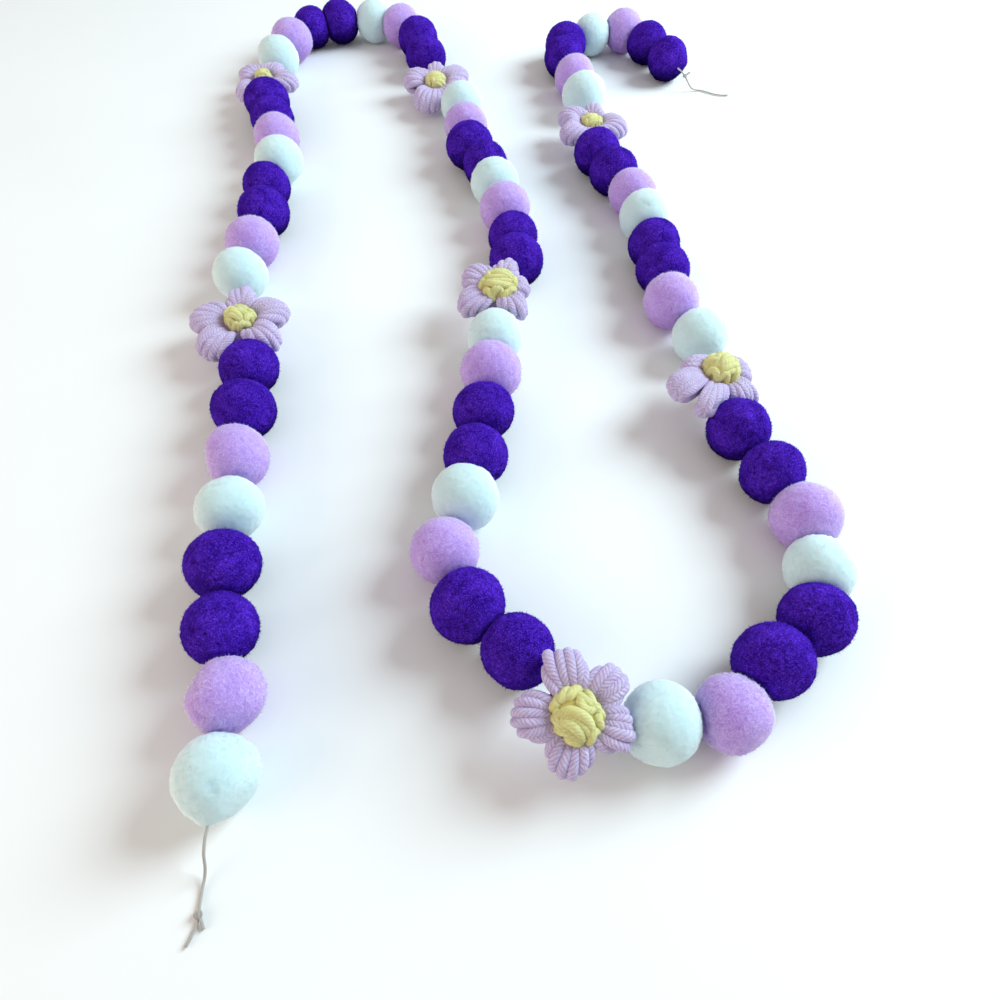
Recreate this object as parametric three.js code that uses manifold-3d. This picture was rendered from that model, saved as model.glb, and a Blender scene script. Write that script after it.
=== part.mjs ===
// A pom-pom garland, laid out in three strands on a flat surface. Millimetres, +Z up.
// Eight groups of eight felted pompoms are strung in the order white, lilac, violet, violet, with a
// crocheted five-petal flower between the groups and a tail of thread at each end.

import * as THREE from "three";
import { mergeVertices } from "three/addons/utils/BufferGeometryUtils.js";
import Module from "manifold-3d";

const wasm = await Module();
wasm.setup();

// Pompoms. SEAT is the height of a pompom's middle over its radius, which leaves a small flat foot.
const POMPOM_RADIUS = 13;
const POMPOM_PITCH = 23.2;
const SEAT = 0.965;
const FOOT_BAND = 0.01;
const POMPOM_SIDES = 12;
const POMPOM_RINGS = 5;
const PRESS_GAP = 0.36;
const PRESS_DEPTH = 0.9;
const TIGHTEN_ROUNDS = 12;

// Unevenness: shares of the radius, and how fast each changes from one pompom to the next or round one.
const SIZE_SPREAD = 0.025;
const SIZE_RHYTHM = 2.4;
const EGG = 0.03;
const EGG_RHYTHM = 1.7;
const LUMP = 0.018;
const LUMPS_AROUND = 3;
const LUMP_HEIGHT = 4;
const TURN_STEP = Math.PI / 7;

// The order of the colours between two flowers.
const GROUP = ["white", "lilac", "violet", "violet", "white", "lilac", "violet", "violet"];
const GROUPS = 8;

// Flowers. FLOWER_STEP is the way along the thread from a flower to the pompoms beside it. A spoke of a
// flower keeps a share of its length between SMALLEST_REACH and LONGEST_REACH, to lie against a pompom.
const PETALS = 5;
const RIBS_PER_PETAL = 4;
const FLOWER_SIDES = PETALS * RIBS_PER_PETAL * 2;
const FLOWER_STEP = 28;
const FLOWER_CLEAR = 0.4;
const FLOWER_NEAR = 4 * POMPOM_RADIUS;
const LONGEST_REACH = 1.26;
const SMALLEST_REACH = 0.44;
const SHRINK_STEP = 0.02;
const PETAL_NOTCH = 0.28;
const PETAL_ROUND = 0.5;
const PETAL_CREASE = 0.45;
const RIB_RISE = 0.45;

// Thread
const THREAD_DIAMETER = 0.9;
const THREAD_SIDES = 8;
const TAIL_STEPS = 12;
const KNOT_RADIUS = 1.5;
const KNOT_WIDE = 1.1;
const KNOT_LOW = 0.9;
const KNOT_END_STEPS = 4;
const KNOT_GAP = 0.5;

// Points closer than MERGE are one point, and a face smaller than SLIVER has no plane of its own.
const MERGE = 1e-3;
const SLIVER = 1e-3;

// The route of the thread, seen from above. A row gives where the piece of that number lies, counted
// from the near left end over pompoms and flowers alike.
const ROUTE = [
  { piece: 0, x: -65, y: -250.5 },
  { piece: 1, x: -68, y: -224 },
  { piece: 2, x: -75, y: -200 },
  { piece: 4, x: -82, y: -153 },
  { piece: 7, x: -89, y: -77 },
  { piece: 8, x: -97, y: -50 },
  { piece: 9, x: -105, y: -20 },
  { piece: 11, x: -102, y: 30 },
  { piece: 12, x: -106, y: 55 },
  { piece: 13, x: -102, y: 76 },
  { piece: 14, x: -109, y: 105 },
  { piece: 17, x: -125, y: 164 },
  { piece: 20, x: -108, y: 238 },
  { piece: 23, x: -48, y: 241 },
  { piece: 26, x: -20, y: 166 },
  { piece: 27, x: -4, y: 137 },
  { piece: 29, x: 2, y: 92 },
  { piece: 30, x: 11, y: 74 },
  { piece: 34, x: 27, y: -8 },
  { piece: 35, x: 19, y: -38 },
  { piece: 37, x: 15, y: -82 },
  { piece: 40, x: 6, y: -147 },
  { piece: 41, x: -1, y: -170 },
  { piece: 42, x: 8, y: -192 },
  { piece: 43, x: 25, y: -208 },
  { piece: 44, x: 42, y: -234 },
  { piece: 45, x: 69, y: -232 },
  { piece: 46, x: 92, y: -229 },
  { piece: 47, x: 108, y: -212 },
  { piece: 48, x: 126, y: -197 },
  { piece: 50, x: 132, y: -156 },
  { piece: 52, x: 115, y: -114 },
  { piece: 54, x: 108, y: -60 },
  { piece: 55, x: 98, y: -38 },
  { piece: 56, x: 97, y: -15 },
  { piece: 59, x: 89, y: 48 },
  { piece: 61, x: 73, y: 86 },
  { piece: 63, x: 70, y: 148 },
  { piece: 66, x: 62, y: 213 },
  { piece: 68, x: 102, y: 232 },
  { piece: 70, x: 127, y: 193 },
];

// How each flower sits: its size, its shift from the thread's line, the height of its middle over the
// pompoms' centres, and the tilt of its face with the direction in which it leans. spin is the turn of
// its first petal, and turns how far each petal stands from its even place. Angles are in degrees from +X.
const FLOWERS = [
  { size: 1.1, dx: -0.5, dy: -4, rise: 0.5, tilt: 4, lean: -90, spin: 25, turns: [2, -4, 1, -10, 11] },
  { size: 1.02, dx: -2, dy: 1, rise: -1, tilt: 3, lean: -120, spin: 5, turns: [-8, -4, -9, 12, 7] },
  { size: 1.1, dx: 0, dy: -4, rise: -2, tilt: 8, lean: -90, spin: 27, turns: [11, -8, -15, 9, 5] },
  { size: 0.93, dx: -2, dy: 0, rise: 6, tilt: 9, lean: -90, spin: 6, turns: [2, -14, -12, -6, 14] },
  { size: 0.95, dx: -0.6, dy: 3.2, rise: 7, tilt: 20, lean: -100, spin: 40, turns: [-4, -14, 1, 5, 13] },
  { size: 1.02, dx: -4, dy: -6, rise: 3, tilt: 12, lean: 30, spin: 46, turns: [-8, 12, 12, -8, -10] },
  { size: 1.02, dx: 1, dy: -4, rise: 0.5, tilt: 3, lean: -90, spin: 1, turns: [-8, 6, 1, -3, -7] },
];

// A flower's section from the middle of its back, round the rim, to the top of its yellow middle. lobe
// is the share of the petals' outline that a ring follows, and puff the share of their ribs and creases.
const FLOWER_SECTION = [
  { r: 0, z: -4.2, lobe: 0, puff: 0 },
  { r: 9, z: -4.8, lobe: 0.2, puff: 0.3 },
  { r: 15.5, z: -4.2, lobe: 0.8, puff: 0.7 },
  { r: 20.5, z: -0.2, lobe: 1, puff: 0 },
  { r: 18.4, z: 3.4, lobe: 1, puff: 0.8 },
  { r: 14, z: 4.9, lobe: 0.8, puff: 1 },
  { r: 9.3, z: 2.7, lobe: 0, puff: 0 },
  { r: 7.9, z: 6.6, lobe: 0, puff: 0 },
  { r: 4.6, z: 9.6, lobe: 0, puff: 0 },
  { r: 0, z: 10.6, lobe: 0, puff: 0 },
];

// Threads at the two ends. Each route runs from the pole of the last pompom down to the surface, and a
// knot sits on its point of that number, with a short cut end beside it.
const TAIL_START = {
  knot: 8,
  looseEnd: [-64.6, -286.6, 0.6],
  route: [
    [-65.2, -261.2, 12.4],
    [-65.3, -264.8, 12.1],
    [-65.6, -268.3, 9.9],
    [-66.1, -269.9, 6.8],
    [-66.5, -271.4, 3.9],
    [-66.9, -273.6, 1.7],
    [-67.2, -276.5, 0.8],
    [-67.1, -279.7, 0.7],
    [-66.7, -282.9, 1.1],
    [-66.9, -285.6, 0.7],
    [-67.6, -288.2, 0.7],
    [-68.6, -290.8, 0.7],
  ],
};
const TAIL_FINISH = {
  knot: 2,
  looseEnd: [139.2, 178.9, 11.4],
  route: [
    [131.5, 181.9, 12.4],
    [133.8, 180.0, 11.3],
    [136.2, 178.7, 9.2],
    [138.3, 178.2, 6.5],
    [140.2, 177.9, 3.9],
    [142.4, 178.0, 1.7],
    [145.2, 178.3, 0.8],
    [148.4, 177.7, 0.7],
    [151.4, 176.0, 0.7],
    [154.4, 174.0, 0.7],
    [157.6, 172.5, 0.7],
    [161.0, 171.9, 0.7],
    [164.6, 172.1, 0.7],
  ],
};

// Colours and finish of each yarn.
const white = { color: 0xd3ecf0, roughness: 0.95 };
const lilac = { color: 0xb8a0e2, roughness: 0.95 };
const violet = { color: 0x3a16a8, roughness: 0.95 };
const petal = { color: 0xcdb6de, roughness: 0.85 };
const thread = { color: 0xc9ad92, roughness: 0.8 };
const COLOURS = { white, lilac, violet };

const PIECES = GROUPS * (GROUP.length + 1) - 1;
const isFlower = (piece) => piece % (GROUP.length + 1) === GROUP.length;

// Distance along the thread at which a piece sits: the steps beside a flower are longer than the rest.
function along(piece) {
  const flowers = Math.floor(piece / (GROUP.length + 1));
  const longSteps = 2 * flowers + (isFlower(piece) ? 1 : 0);
  return piece * POMPOM_PITCH + longSteps * (FLOWER_STEP - POMPOM_PITCH);
}

// The middle of every piece, from the curve through the rows of the route.
function strungPieces() {
  const curve = new THREE.CatmullRomCurve3(ROUTE.map((row) => new THREE.Vector3(row.x, row.y, 0)));
  const last = ROUTE.length - 1;
  const pieces = [];
  for (let piece = 0; piece < PIECES; piece += 1) {
    const next = Math.max(1, ROUTE.findIndex((row) => row.piece >= piece));
    const from = along(ROUTE[next - 1].piece);
    const share = (along(piece) - from) / (along(ROUTE[next].piece) - from);
    const middle = curve.getPoint((next - 1 + share) / last);
    const radius = POMPOM_RADIUS * (1 + SIZE_SPREAD * Math.sin(SIZE_RHYTHM * piece + 1));
    middle.z = radius * SEAT;
    pieces.push({ piece, middle, radius, flower: isFlower(piece) });
  }
  return pieces;
}

// Pulls neighbouring pompoms together until each presses a little into the next.
function tighten(pompoms) {
  for (let round = 0; round < TIGHTEN_ROUNDS; round += 1) {
    for (let i = 1; i < pompoms.length; i += 1) {
      const [a, b] = [pompoms[i - 1], pompoms[i]];
      const apart = new THREE.Vector3().subVectors(b.middle, a.middle).setZ(0);
      const surplus = apart.length() - (a.radius + b.radius - 2 * PRESS_DEPTH);
      if (b.piece - a.piece === 1 && surplus > 0) {
        apart.normalize().multiplyScalar(surplus / 2);
        a.middle.add(apart);
        b.middle.sub(apart);
      }
    }
  }
}

// One pompom round its own middle: a lathe form with a flat foot, made a little lumpy and egg-shaped.
function pompomForm({ piece, radius }) {
  const foot = Math.PI - Math.acos(SEAT);
  const profile = [new THREE.Vector2(0, -radius * SEAT)];
  for (let ring = 0; ring <= POMPOM_RINGS; ring += 1) {
    const polar = foot * (1 - ring / (POMPOM_RINGS + 1));
    profile.push(new THREE.Vector2(radius * Math.sin(polar), radius * Math.cos(polar)));
  }
  profile.push(new THREE.Vector2(0, radius));
  const form = new THREE.LatheGeometry(profile, POMPOM_SIDES, piece * TURN_STEP);
  form.rotateX(Math.PI / 2);
  const point = new THREE.Vector3();
  const places = form.attributes.position;
  for (let i = 0; i < places.count; i += 1) {
    point.fromBufferAttribute(places, i);
    if (point.z < -radius * (SEAT - FOOT_BAND)) continue;
    const turn = Math.atan2(point.y, point.x);
    const lump = Math.sin(LUMPS_AROUND * turn + piece) * Math.sin(point.z / LUMP_HEIGHT + 2 * piece);
    const egg = Math.cos(2 * (turn - piece)) * Math.abs(Math.sin(piece * EGG_RHYTHM));
    const side = 1 + LUMP * lump + EGG * egg;
    places.setXYZ(i, point.x * side, point.y * side, point.z);
  }
  return form;
}

// Flattens the form where a neighbour presses on it, so that a thin gap stays between the two.
function pressFlat(form, self, other) {
  const toward = new THREE.Vector3().subVectors(other.middle, self.middle);
  const apart = toward.length();
  toward.normalize();
  const shared = (apart * apart + self.radius ** 2 - other.radius ** 2) / (2 * apart);
  const limit = shared - PRESS_GAP / 2;
  const point = new THREE.Vector3();
  const places = form.attributes.position;
  for (let i = 0; i < places.count; i += 1) {
    point.fromBufferAttribute(places, i);
    const over = point.dot(toward) - limit;
    if (over > 0) {
      point.addScaledVector(toward, -over);
      places.setXYZ(i, point.x, point.y, point.z);
    }
  }
}

// A crocheted flower in its own frame, face up: a lathe form whose rings follow the petals' outline,
// with a ridge for each strand of the petals.
function flowerForm(seat) {
  const profile = FLOWER_SECTION.map((ring) => new THREE.Vector2(ring.r, ring.z));
  const form = new THREE.LatheGeometry(profile, FLOWER_SIDES);
  const places = form.attributes.position;
  for (let i = 0; i < places.count; i += 1) {
    const ring = FLOWER_SECTION[i % FLOWER_SECTION.length];
    const side = Math.floor(i / FLOWER_SECTION.length) % FLOWER_SIDES;
    const turn = (side * 2 * Math.PI) / FLOWER_SIDES;
    const fullness = Math.abs(Math.cos((PETALS * turn) / 2)) ** PETAL_ROUND;
    const reach = ring.r * (1 - ring.lobe * PETAL_NOTCH * (1 - fullness)) * seat.size;
    const crease = 1 - ring.puff * PETAL_CREASE * (1 - fullness);
    const rib = ring.puff * RIB_RISE * (side % 2 === 0 ? 1 : -1) * Math.sign(ring.z);
    const petal = (side * PETALS) / FLOWER_SIDES;
    const before = seat.turns[Math.floor(petal)];
    const after = seat.turns[(Math.floor(petal) + 1) % PETALS];
    const angle = turn + THREE.MathUtils.degToRad(seat.spin + THREE.MathUtils.lerp(before, after, petal % 1));
    places.setXYZ(i, reach * Math.cos(angle), reach * Math.sin(angle), (ring.z * crease + rib) * seat.size);
  }
  return form;
}

// The planes in which a pompom's faces lie, and how far a point lies outside them.
function facePlanes(form) {
  const bare = form.toNonIndexed();
  const corners = bare.attributes.position;
  const planes = [];
  for (let i = 0; i < corners.count; i += 3) {
    const [a, b, c] = [0, 1, 2].map((k) => new THREE.Vector3().fromBufferAttribute(corners, i + k));
    const face = new THREE.Triangle(a, b, c);
    if (face.getArea() > SLIVER) planes.push(face.getPlane(new THREE.Plane()));
  }
  return planes;
}

function outside(point, planes) {
  return Math.max(...planes.map((plane) => plane.distanceToPoint(point)));
}

// Places a flower and draws each of its spokes in until the petals only lie against the pompoms.
function seatFlower(form, place, pompoms) {
  const { middle, seat } = place;
  const lean = THREE.MathUtils.degToRad(seat.lean);
  const axis = new THREE.Vector3(-Math.sin(lean), Math.cos(lean), 0);
  const tilt = new THREE.Quaternion().setFromAxisAngle(axis, THREE.MathUtils.degToRad(seat.tilt));
  const rings = FLOWER_SECTION.length;
  const sides = FLOWER_SIDES;
  const places = form.attributes.position;
  const point = new THREE.Vector3();
  const placed = (side, ring, reach) => {
    point.fromBufferAttribute(places, (side % sides) * rings + ring);
    point.x *= reach;
    point.y *= reach;
    return point.applyQuaternion(tilt).add(middle).clone();
  };
  const close = pompoms.filter((p) => p.middle.distanceTo(middle) < FLOWER_NEAR);
  const meets = (at) => close.some((p) => outside(at, p.faces) < FLOWER_CLEAR);
  const reaches = [];
  for (let side = 0; side < sides; side += 1) {
    let reach = LONGEST_REACH;
    for (let ring = 0; ring < rings; ring += 1) {
      while (reach > SMALLEST_REACH && meets(placed(side, ring, reach))) reach -= SHRINK_STEP;
    }
    reaches.push(reach === LONGEST_REACH ? 1 : reach);
  }
  // The edges between two spokes have to stay clear too, or else the longer spoke is drawn in.
  const crosses = (side, next) => {
    for (let ring = 1; ring < rings - 1; ring += 1) {
      const from = placed(side, ring, reaches[side]);
      for (const to of [placed(next, ring, reaches[next]), placed(next, ring + 1, reaches[next])]) {
        if (meets(to.lerp(from, 0.5))) return true;
      }
    }
    return false;
  };
  for (let round = 0; round < sides; round += 1) {
    for (let side = 0; side < sides; side += 1) {
      const next = (side + 1) % sides;
      const longer = reaches[side] > reaches[next] ? side : next;
      if (reaches[longer] > SMALLEST_REACH && crosses(side, next)) reaches[longer] -= SHRINK_STEP;
    }
  }
  const seated = [];
  for (let i = 0; i < places.count; i += 1) {
    const side = Math.floor(i / rings) % sides;
    seated.push(placed(side, i % rings, reaches[side]));
  }
  seated.forEach((at, i) => places.setXYZ(i, at.x, at.y, at.z));
}

// A closed geometry as a solid, and back.
function toSolid(geometry) {
  const bare = geometry.clone();
  bare.deleteAttribute("normal");
  bare.deleteAttribute("uv");
  const merged = mergeVertices(bare, MERGE);
  const triVerts = new Uint32Array(merged.index.array);
  return new wasm.Manifold(
    new wasm.Mesh({ numProp: 3, vertProperties: merged.attributes.position.array, triVerts }),
  );
}

function toGeometry(solid) {
  const mesh = solid.getMesh();
  const geometry = new THREE.BufferGeometry();
  geometry.setAttribute("position", new THREE.BufferAttribute(mesh.vertProperties, 3));
  geometry.setIndex(new THREE.BufferAttribute(mesh.triVerts, 1));
  return geometry;
}

// A piece of thread along a smooth curve through the points.
function threadForm(points, radius, steps) {
  const curve = new THREE.CatmullRomCurve3(points);
  const section = new THREE.Shape();
  for (let side = 0; side < THREAD_SIDES; side += 1) {
    const angle = (side * 2 * Math.PI) / THREAD_SIDES;
    const x = radius * Math.cos(angle);
    const y = radius * Math.sin(angle);
    if (side === 0) section.moveTo(x, y);
    else section.lineTo(x, y);
  }
  section.closePath();
  return new THREE.ExtrudeGeometry(section, { steps, extrudePath: curve });
}

// The tail's thread on the long side of its knot, which starts or ends a thin gap away from the knot.
function tailForm(tail) {
  const points = tail.route.map((p) => new THREE.Vector3(...p));
  const knot = points[tail.knot];
  const knotFirst = tail.knot < points.length / 2;
  const run = knotFirst ? points.slice(tail.knot + 1) : points.slice(0, tail.knot);
  const near = knotFirst ? run[0] : run[run.length - 1];
  const clear = KNOT_RADIUS * KNOT_WIDE + KNOT_GAP;
  const edge = new THREE.Vector3().subVectors(near, knot).setLength(clear).add(knot);
  if (knotFirst) run[0] = edge;
  else run[run.length - 1] = edge;
  return threadForm(run, THREAD_DIAMETER / 2, TAIL_STEPS);
}

// The knot, joined with the thread on its short side and with its cut end.
function knotForm(tail) {
  const points = tail.route.map((p) => new THREE.Vector3(...p));
  const knot = points[tail.knot];
  const ball = new THREE.IcosahedronGeometry(KNOT_RADIUS, 1);
  ball.scale(KNOT_WIDE, KNOT_WIDE, KNOT_LOW);
  ball.translate(knot.x, knot.y, Math.max(knot.z, KNOT_RADIUS * KNOT_LOW));
  const short = tail.knot < points.length / 2 ? points.slice(0, tail.knot + 1) : points.slice(tail.knot);
  const end = new THREE.Vector3(...tail.looseEnd);
  const bend = new THREE.Vector3().lerpVectors(knot, end, 0.5);
  const solid = toSolid(ball)
    .add(toSolid(threadForm(short, THREAD_DIAMETER / 2, KNOT_END_STEPS)))
    .add(toSolid(threadForm([knot, bend, end], THREAD_DIAMETER / 2, KNOT_END_STEPS)));
  return toGeometry(solid);
}

function addMesh(group, name, geometry, finish) {
  const material = new THREE.MeshStandardMaterial({ ...finish, metalness: 0 });
  material.name = name;
  geometry.computeVertexNormals();
  const mesh = new THREE.Mesh(geometry, material);
  mesh.name = name;
  group.add(mesh);
}

function number(count) {
  return String(count).padStart(2, "0");
}

function buildGarland() {
  const group = new THREE.Group();
  const pieces = strungPieces();
  const pompoms = pieces.filter((p) => !p.flower);
  tighten(pompoms);
  pompoms.forEach((p, i) => {
    p.colour = GROUP[i % GROUP.length];
    p.partner = null;
  });
  for (let i = 1; i < pompoms.length; i += 1) {
    const before = pompoms[i - 1];
    if (pompoms[i].colour === "violet" && before.colour === "violet") {
      before.partner = pompoms[i];
      pompoms[i].partner = before;
    }
  }

  pompoms.forEach((p) => {
    p.form = pompomForm(p);
    pompoms
      .filter((q) => q !== p && q !== p.partner)
      .filter((q) => q.middle.distanceTo(p.middle) < (q.radius + p.radius) * (1 + EGG) + PRESS_GAP)
      .forEach((q) => pressFlat(p.form, p, q));
    p.form.translate(p.middle.x, p.middle.y, p.middle.z);
    p.faces = facePlanes(p.form);
  });

  const counts = { white: 0, lilac: 0, violet: 0 };
  pompoms.forEach((p, i) => {
    if (p.partner && p.partner === pompoms[i - 1]) return;
    counts[p.colour] += 1;
    const count = number(counts[p.colour]);
    if (p.partner) {
      const pair = toSolid(p.form).add(toSolid(p.partner.form));
      addMesh(group, "violet_pair_" + count, toGeometry(pair), COLOURS.violet);
    } else {
      addMesh(group, p.colour + "_" + count, p.form, COLOURS[p.colour]);
    }
  });

  pieces
    .filter((p) => p.flower)
    .forEach((place, i) => {
      place.seat = FLOWERS[i];
      place.middle.x += place.seat.dx;
      place.middle.y += place.seat.dy;
      place.middle.z = POMPOM_RADIUS * SEAT + place.seat.rise;
      const form = flowerForm(place.seat);
      seatFlower(form, place, pompoms);
      addMesh(group, "flower_" + (i + 1), form, petal);
    });

  addMesh(group, "tail_start", tailForm(TAIL_START), thread);
  addMesh(group, "knot_start", knotForm(TAIL_START), thread);
  addMesh(group, "tail_finish", tailForm(TAIL_FINISH), thread);
  addMesh(group, "knot_finish", knotForm(TAIL_FINISH), thread);
  return group;
}

export default buildGarland();
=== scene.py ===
# A pom-pom garland on a pale surface: balls of short pile, crocheted flowers and thread ends.

import math

import bmesh
import bpy
import numpy as np
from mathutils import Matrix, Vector


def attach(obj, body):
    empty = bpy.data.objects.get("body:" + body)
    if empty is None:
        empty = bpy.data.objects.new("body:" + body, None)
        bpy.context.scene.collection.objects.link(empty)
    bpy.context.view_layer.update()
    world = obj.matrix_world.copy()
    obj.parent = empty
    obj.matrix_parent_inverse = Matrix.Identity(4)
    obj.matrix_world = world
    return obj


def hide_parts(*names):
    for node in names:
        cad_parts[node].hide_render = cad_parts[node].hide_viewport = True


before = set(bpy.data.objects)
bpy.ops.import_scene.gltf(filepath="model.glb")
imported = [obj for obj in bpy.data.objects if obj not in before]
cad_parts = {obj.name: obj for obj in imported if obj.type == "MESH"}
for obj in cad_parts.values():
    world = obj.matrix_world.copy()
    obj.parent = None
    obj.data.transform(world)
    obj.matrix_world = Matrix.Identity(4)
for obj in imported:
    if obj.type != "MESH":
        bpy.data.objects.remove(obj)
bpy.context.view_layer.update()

MM = 0.001
SEED = 41

# Camera, from the photograph's perspective: focal length in pixels of a 1000 pixel frame.
CAMERA_PLACE = (0.019, -0.300, 0.23667)
CAMERA_DOWN = 55.914
FOCAL_PIXELS = 720
FRAME_PIXELS = 1000
SENSOR_WIDTH = 36

# The string: each quad of balls is white, lilac, violet, violet, and a flower follows each group.
QUADS = 16
GROUP = 8

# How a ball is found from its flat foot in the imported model, in millimetres.
FOOT_HEIGHT = 0.02
FOOT_ACROSS = 12
TOP_ASIDE = 9

# The skin of a ball, in millimetres. SEAT is the height of its middle and EGG how far it is out of
# round, over its radius. Its pile gets painted shade underneath, below a height on the unit sphere.
SEAT = 0.965
EGG = 0.03
EGG_STEP = 1.7
WAVES = [
    {"count": 8, "frequency": 3.0, "amplitude": 0.016},
    {"count": 12, "frequency": 8.0, "amplitude": 0.006},
    {"count": 16, "frequency": 19.0, "amplitude": 0.004},
]
PILE = 0.4
PRESS_GAP = 0.2
PRESS_SOFTNESS = 0.45
FLAT_SOFTNESS = 1.1
FLOOR_SOFTNESS = 0.15
FLOOR_CLEAR = 0.05
CREASE_WIDTH = 0.075
BALL_DETAIL = 5
TUFT = 0.14
SKIN_TONE = 0.45
TUFT_TONE = 0.1
# The painted shade under a ball: the height on the unit sphere from which it fades out upwards, the
# height over which it fades, and the least share of the tone that it leaves.
SHADE_LOW = -0.75
SHADE_SPAN = 1.05
SHADE_LEAST = 0.12

# The short grooves that any ball may have besides its own: at most how many, at most how high they
# start in degrees, and how far they run over the unit sphere.
MORE_CREASES = 2
CREASE_START = 75
CREASE_RUN = 0.28
CREASE_DEPTH = (0.15, 0.5)

# The fibre ends of the pile, in millimetres. None stands where a ball is pressed in further than
# FIBRE_PRESS or is lower than FIBRE_LOWEST. The tones are those of the root's corners and the tip.
FIBRES = {"white": 900, "lilac": 1750, "violet": 1750}
FIBRE_WIDTH = 0.1
FIBRE_LENGTH = {"white": (0.5, 0.9), "lilac": (0.55, 1.15), "violet": (0.55, 1.15)}
FIBRE_ROOT = 0.1
FIBRE_TONES = [0.4, 0.4, 0.4, 1.0]
FIBRE_PRESS = 0.7
FIBRE_LOWEST = 0.4
UNRULY = {"white": 0.22, "lilac": 0.42, "violet": 0.5}
STRAY_SHARE = 0.05
STRAY_LENGTH = 1.4

# Where a ball, counted from the near left end, is flatter than round: how deep, seen from its
# middle in a direction in degrees.
FLATS = [
    {"ball": 0, "toward": (-38, 0), "depth": 1.9},
    {"ball": 0, "toward": (-150, -20), "depth": 0.9},
    {"ball": 0, "toward": (60, 30), "depth": 0.6},
    {"ball": 1, "toward": (165, 35), "depth": 1.5},
    {"ball": 1, "toward": (-135, 0), "depth": 0.8},
    {"ball": 1, "toward": (-50, 10), "depth": 1.0},
    {"ball": 4, "toward": (-60, 20), "depth": 0.7},
    {"ball": 5, "toward": (-160, 15), "depth": 0.8},
    {"ball": 12, "toward": (-25, 15), "depth": 0.8},
    {"ball": 40, "toward": (-110, 10), "depth": 0.9},
    {"ball": 41, "toward": (-60, 20), "depth": 0.6},
]

# Where a ball is drawn out to a point round the thread: how far, and how wide in degrees.
PEAKS = [
    {"ball": 0, "toward": (-93, -4), "height": 1.3, "wide": 11},
    {"ball": 63, "toward": (-25, 0), "height": 0.8, "wide": 11},
]

# Where the pile of a ball parts in a groove, from one direction to another.
CREASES = [
    {"ball": 0, "start": (-160, 50), "end": (-100, 25), "depth": 0.55},
    {"ball": 0, "start": (-115, 5), "end": (-60, 12), "depth": 0.6},
    {"ball": 1, "start": (175, 62), "end": (-112, 40), "depth": 0.6},
    {"ball": 1, "start": (140, 75), "end": (-90, 58), "depth": 0.4},
    {"ball": 40, "start": (-60, 60), "end": (-75, 15), "depth": 0.5},
    {"ball": 40, "start": (-100, 50), "end": (-105, 10), "depth": 0.4},
]

# The yarn of the flowers, in millimetres. RIDGE is the height of a ply over PLY_DEPTH.
PLIES = 6
PLY_PITCH = 7.2
PLY_DEPTH = 0.05
RIDGE = 1.2
PATH_FINENESS = 12
STRAND_SIDES = 12
STRAND_STEP = 0.8
YARN_FIBRE = {"width": 0.07, "lengths": (0.5, 1.3), "unruly": 0.8}
YARN_FIBRE_ROOT = 0.2
PETAL_FIBRES = 30
DOME_FIBRES = 80

# The strands of the petals, in millimetres for a flower of size 1. SPOKES is in how many directions
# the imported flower's reach is taken, each SPOKE_WIDTH degrees to either side.
PETALS = 5
SPOKES = 40
SPOKE_WIDTH = 1.5
STRANDS = 6
STRAND_RADIUS = 1.85
STRAND_INNER = 6.2
STRAND_POINTS = 42

# The yellow middle, in millimetres for a flower of size 1: short loops round the rim, longer ones
# over the crown, and a core. RIM_RISE and RIM_SLANT are shares of the dome's height.
DOME_TOP = 10.6
DOME_RADIUS = 7.3
DOME_FOOT = 1.8
LOOP_RADIUS = 1.55
LOOP_THICKNESS = (0.85, 1.15)
LOOP_ENDS = 0.74
LOOP_SWELL = 0.33
# The tone at a loop's ends is painted shade, where it goes down into the dome.
LOOP_END_SHADE = 0.75
RIM_LOOPS = 10
RIM_ASIDE = 16
RIM_WIDTH = (16, 30)
RIM_RISE = (0.28, 0.55)
RIM_SLANT = 0.15
RIM_OUT = 0.4
CROWN_LOOPS = 6
CROWN_HEADING = 35
CROWN_BOW = 40
CROWN_LIFT = 0.7
CROWN_ASIDE = 16
CROWN_SPAN = 0.8
CROWN_REACH = 0.86
CROWN_LEAST = 5
CROWN_ROUND = 1.05
CORE_DETAIL = 4
# The core's tone is painted shade, as it lies under the loops.
CORE_SHADE = 0.35

# The lens of plain yarn inside a flower, in millimetres for a flower of size 1.
HEART_RADIUS = 9.5
HEART_HEIGHT = 3.2
HEART_STEPS = 10
HEART_SIDES = 30
# The heart's tone is painted shade, as it lies under the strands and loops.
HEART_SHADE = 0.3

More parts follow.
